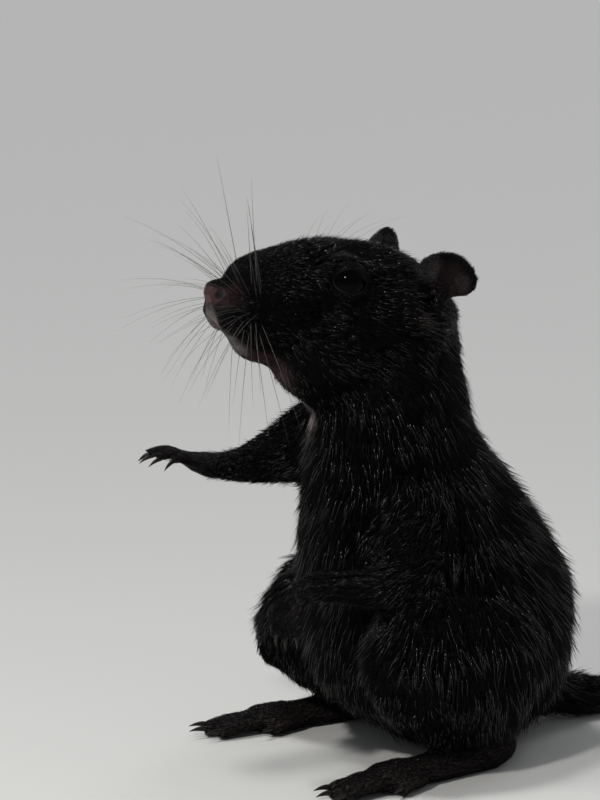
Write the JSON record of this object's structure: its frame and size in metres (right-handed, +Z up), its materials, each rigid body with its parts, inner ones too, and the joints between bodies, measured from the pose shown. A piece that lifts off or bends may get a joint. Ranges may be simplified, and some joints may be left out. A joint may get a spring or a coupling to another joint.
{
  "type": "gerbil",
  "caption": "Black gerbil sitting up on its haunches with its head raised and one forepaw reaching forward, a still life-size model with a short glossy coat.",
  "frame": {"origin": "on the floor, under the middle of the model's box", "axes": "+Z up; -Y the way the body faces, with the tail towards +Y; +X the animal's left side"},
  "size_m": [0.0796, 0.1278, 0.0778],
  "materials": {
    "black_fur": "short dense near-black fur, lying flat, with a soft gloss",
    "bare_skin": "thin dark pinkish-grey skin with very fine hair, matt",
    "black_eye": "wet, glossy black",
    "dark_claw": "dark horn with a low sheen"
  },
  "bodies": {
    "root": {"abdomen": "black_fur", "chest": "black_fur", "claw_fore_left_1": "dark_claw", "claw_fore_left_2": "dark_claw", "claw_fore_left_3": "dark_claw", "claw_fore_left_4": "dark_claw", "claw_fore_right_1": "dark_claw", "claw_fore_right_2": "dark_claw", "claw_fore_right_3": "dark_claw", "claw_fore_right_4": "dark_claw", "claw_hind_left_1": "dark_claw", "claw_hind_left_2": "dark_claw", "claw_hind_left_3": "dark_claw", "claw_hind_left_4": "dark_claw", "claw_hind_left_5": "dark_claw", "claw_hind_right_1": "dark_claw", "claw_hind_right_2": "dark_claw", "claw_hind_right_3": "dark_claw", "claw_hind_right_4": "dark_claw", "claw_hind_right_5": "dark_claw", "ear_left": "bare_skin", "ear_right": "bare_skin", "eye_left": "black_eye", "eye_right": "black_eye", "forearm_left": "black_fur", "forearm_right": "black_fur", "forepaw_left": "bare_skin", "forepaw_right": "bare_skin", "head": "black_fur", "hind_foot_left": "bare_skin", "hind_foot_right": "bare_skin", "lower_leg_left": "black_fur", "lower_leg_right": "black_fur", "neck": "black_fur", "tail_1": "black_fur", "tail_2": "black_fur", "tail_3": "black_fur", "tail_4": "black_fur", "tail_5": "black_fur", "thigh_left": "black_fur", "thigh_right": "black_fur", "upper_arm_left": "black_fur", "upper_arm_right": "black_fur"}
  },
  "joints": []
}
